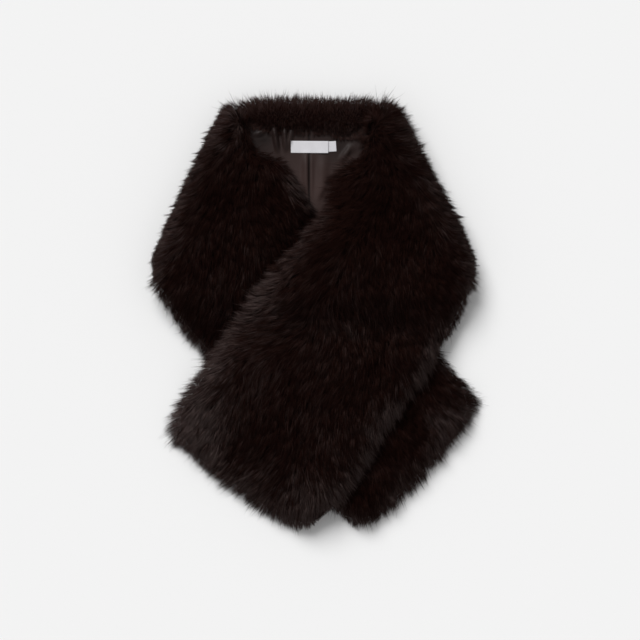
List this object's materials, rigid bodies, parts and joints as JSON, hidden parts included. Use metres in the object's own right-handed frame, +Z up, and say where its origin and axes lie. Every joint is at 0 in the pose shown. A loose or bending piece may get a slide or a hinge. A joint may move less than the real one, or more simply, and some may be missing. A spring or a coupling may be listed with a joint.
{
  "type": "fur collar wrap",
  "caption": "Long-pile fur collar wrap laid flat: one straight band folded at both sides, its right front crossed over its left, with a satin-lined back neck.",
  "frame": {"origin": "middle of the wrap's outline as seen from above, on the surface it lies on", "axes": "+Z up from that surface, +Y towards the neck edge, +X towards the fold from which the upper front comes"},
  "size_m": [0.3496, 0.4698, 0.0518],
  "materials": {
    "fur": "very dark brown long-pile fur",
    "lining": "dark taupe satin",
    "label": "white woven ribbon"
  },
  "bodies": {
    "root": {"fur_back": "fur", "fur_front_left": "fur", "fur_front_right": "fur", "lining_left": "lining", "lining_right": "lining", "neck_label": "label", "size_tab": "label"}
  },
  "joints": []
}
